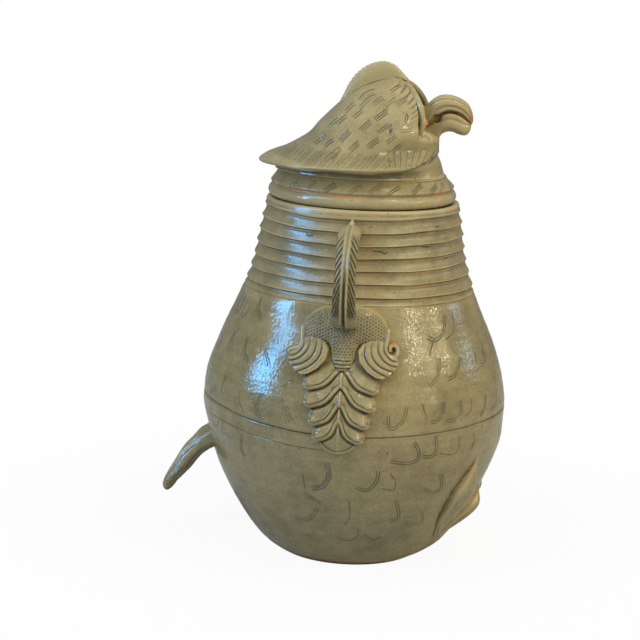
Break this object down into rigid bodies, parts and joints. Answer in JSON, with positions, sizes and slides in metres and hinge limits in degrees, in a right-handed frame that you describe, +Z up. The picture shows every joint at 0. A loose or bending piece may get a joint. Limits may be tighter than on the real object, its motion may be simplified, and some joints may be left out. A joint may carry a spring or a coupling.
{
  "type": "owl-shaped lidded jar",
  "caption": "Pear-shaped stoneware jar with a ribbed neck, strap handles, applied wings, feet and tail, and a lift-off lid formed as an owl's head.",
  "frame": {"origin": "centre of the flat underside of the base", "axes": "+Z up through the lid, -Y is the owl's front (beak), -X is the owl's right side"},
  "size_m": [0.2536, 0.2746, 0.3904],
  "materials": {
    "celadon_glaze": "glossy olive-grey celadon glaze, orange where it breaks thin over edges",
    "bare_clay": "matt unglazed orange stoneware"
  },
  "bodies": {
    "jar": {"lower_bowl": "celadon_glaze", "upper_shell": "celadon_glaze", "ribbed_neck": "celadon_glaze", "right_handle": "celadon_glaze", "left_handle": "celadon_glaze", "right_wing_relief": "celadon_glaze", "left_wing_relief": "celadon_glaze", "right_foot": "celadon_glaze", "left_foot": "celadon_glaze", "tail": "celadon_glaze"},
    "lid": {"lid_band": "celadon_glaze", "head_hood": "celadon_glaze", "crest": "celadon_glaze", "right_brow": "celadon_glaze", "left_brow": "celadon_glaze", "right_eye": "bare_clay", "left_eye": "bare_clay", "upper_beak": "celadon_glaze", "lower_beak": "celadon_glaze"}
  },
  "joints": [
    {"name": "lid_lift", "type": "slide", "parent": "jar", "child": "lid", "axis": [0, 0, 1], "range_m": [0, 0.25]}
  ]
}
